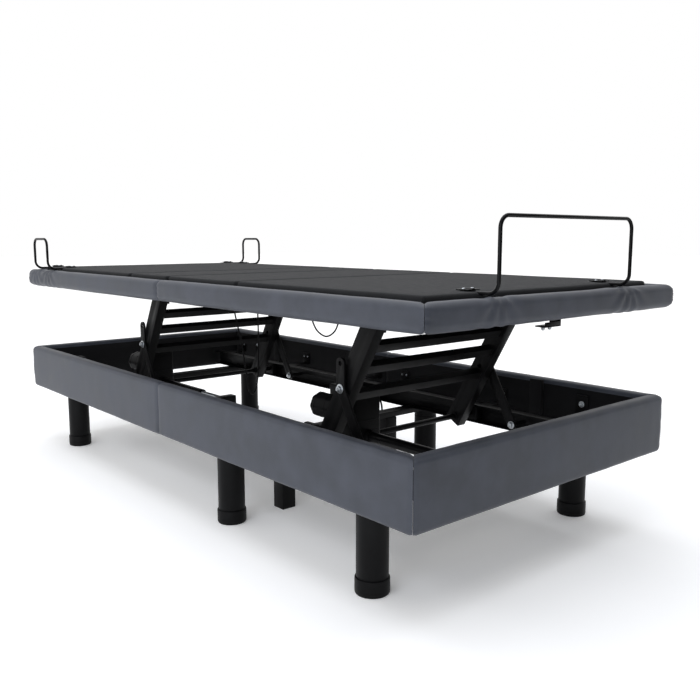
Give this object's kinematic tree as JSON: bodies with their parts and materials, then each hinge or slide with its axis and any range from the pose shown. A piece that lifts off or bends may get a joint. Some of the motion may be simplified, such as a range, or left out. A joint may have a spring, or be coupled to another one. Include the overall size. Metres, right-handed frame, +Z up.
{
  "type": "adjustable bed base",
  "caption": "Powered adjustable bed base: padded surround on round legs, a deck on two half-scissor lift units, and a folding four-section platform inside a padded border.",
  "frame": {"origin": "centre of the footprint, on the floor", "axes": "+X towards the foot end, +Y to the left side of someone lying on the bed face up, +Z up"},
  "size_m": [2.062, 0.928, 0.8092],
  "materials": {
    "leatherette": "satin",
    "black_steel": "satin",
    "grey_steel": "satin",
    "zinc": "satin",
    "black_plastic": "satin",
    "platform_cloth": "matte",
    "black_wire": "gloss",
    "cord_rubber": "matte"
  },
  "bodies": {
    "base": {"surround_right_head": "leatherette", "surround_right_foot": "leatherette", "surround_left_head": "leatherette", "surround_left_foot": "leatherette", "surround_head_end": "leatherette", "surround_foot_end": "leatherette", "base_rail_right": "black_steel", "base_rail_left": "black_steel", "cross_tube_head": "black_steel", "cross_tube_middle": "black_steel", "cross_tube_foot": "black_steel", "foot_rod_anchor": "black_steel", "head_rod_anchor": "black_steel", "leg_head_right": "black_plastic", "leg_head_left": "black_plastic", "leg_middle_right": "black_plastic", "leg_middle_left": "black_plastic", "leg_foot_right": "black_plastic", "leg_foot_left": "black_plastic", "centre_post_right": "black_steel", "centre_post_left": "black_steel", "foot_lift_rod": "zinc", "head_lift_rod": "zinc", "power_unit": "black_plastic", "mains_lead": "cord_rubber", "mains_coil": "cord_rubber", "mains_plug": "black_plastic"},
    "foot_stays": {"foot_stay_right": "black_steel", "foot_stay_left": "black_steel"},
    "foot_arms": {"foot_arm_frame": "black_steel"},
    "foot_slide": {"foot_slide_shaft": "zinc", "foot_lift_actuator": "black_plastic"},
    "head_stays": {"head_stay_right": "black_steel", "head_stay_left": "black_steel"},
    "head_arms": {"head_arm_frame": "black_steel"},
    "head_slide": {"head_slide_shaft": "zinc", "head_lift_actuator": "black_plastic"},
    "deck": {"border_right_head": "leatherette", "border_right_foot": "leatherette", "border_left_head": "leatherette", "border_left_foot": "leatherette", "border_head_end": "leatherette", "border_foot_end": "leatherette", "foot_deck_beam": "grey_steel", "head_deck_beam": "grey_steel", "actuator_beam": "grey_steel", "seat_section": "platform_cloth", "back_actuator": "black_plastic", "leg_actuator": "black_plastic", "control_box": "black_plastic", "deck_loom": "cord_rubber", "motor_link_cord": "cord_rubber"},
    "back_body": {"back_section": "platform_cloth", "head_retainer_right": "black_wire", "head_retainer_left": "black_wire"},
    "back_rod_body": {"back_rod": "zinc"},
    "thigh_body": {"thigh_section": "platform_cloth"},
    "leg_rod_body": {"leg_rod": "zinc"},
    "foot_body": {"foot_section": "platform_cloth", "foot_retainer": "black_wire"}
  },
  "joints": [
    {"name": "lift", "type": "hinge", "parent": "base", "child": "foot_stays", "pos_m": [0.673, 0, 0.243], "axis": [0, 1, 0], "range_deg": [-42, 17]},
    {"name": "foot_arms_on_stays", "type": "hinge", "parent": "foot_stays", "child": "foot_arms", "pos_m": [0.58344, 0, 0.40259], "axis": [0, 1, 0], "range_deg": [-34, 84]},
    {"name": "foot_slide_on_arms", "type": "hinge", "parent": "foot_arms", "child": "foot_slide", "pos_m": [0.49389, 0, 0.243], "axis": [0, 1, 0], "range_deg": [-42, 17]},
    {"name": "deck_on_foot_arms", "type": "hinge", "parent": "foot_arms", "child": "deck", "pos_m": [0.673, 0, 0.56218], "axis": [0, 1, 0], "range_deg": [-42, 17]},
    {"name": "head_stays_on_base", "type": "hinge", "parent": "base", "child": "head_stays", "pos_m": [-0.374, 0, 0.243], "axis": [0, 1, 0], "range_deg": [-42, 17]},
    {"name": "head_arms_on_stays", "type": "hinge", "parent": "head_stays", "child": "head_arms", "pos_m": [-0.46356, 0, 0.40259], "axis": [0, 1, 0], "range_deg": [-34, 84]},
    {"name": "head_slide_on_arms", "type": "hinge", "parent": "head_arms", "child": "head_slide", "pos_m": [-0.55311, 0, 0.243], "axis": [0, 1, 0], "range_deg": [-42, 17]},
    {"name": "back_raise", "type": "hinge", "parent": "deck", "child": "back_body", "pos_m": [-0.27, 0, 0.65], "axis": [0, 1, 0], "range_deg": [0, 65]},
    {"name": "back_rod_push", "type": "slide", "parent": "deck", "child": "back_rod_body", "axis": [-1, 0, 0], "range_m": [0, 0.129]},
    {"name": "thigh_raise", "type": "hinge", "parent": "deck", "child": "thigh_body", "pos_m": [-0.03, 0, 0.65], "axis": [0, -1, 0], "range_deg": [0, 35]},
    {"name": "leg_rod_pull", "type": "slide", "parent": "deck", "child": "leg_rod_body", "axis": [1, 0, 0], "range_m": [0, 0.0722]},
    {"name": "knee_fold", "type": "hinge", "parent": "thigh_body", "child": "foot_body", "pos_m": [0.33, 0, 0.637], "axis": [0, -1, 0], "range_deg": [-48.2, 0]}
  ],
  "couplings": [
    {"joint": "foot_arms_on_stays", "follows": "lift", "ratio": -2},
    {"joint": "foot_slide_on_arms", "follows": "lift", "ratio": 1},
    {"joint": "deck_on_foot_arms", "follows": "lift", "ratio": 1},
    {"joint": "head_stays_on_base", "follows": "lift", "ratio": 1},
    {"joint": "head_arms_on_stays", "follows": "lift", "ratio": -2},
    {"joint": "head_slide_on_arms", "follows": "lift", "ratio": 1},
    {"joint": "back_rod_push", "follows": "back_raise", "m_per_rad": 0.11367},
    {"joint": "leg_rod_pull", "follows": "thigh_raise", "m_per_rad": 0.11814},
    {"joint": "knee_fold", "follows": "thigh_raise", "ratio": -1.375}
  ]
}
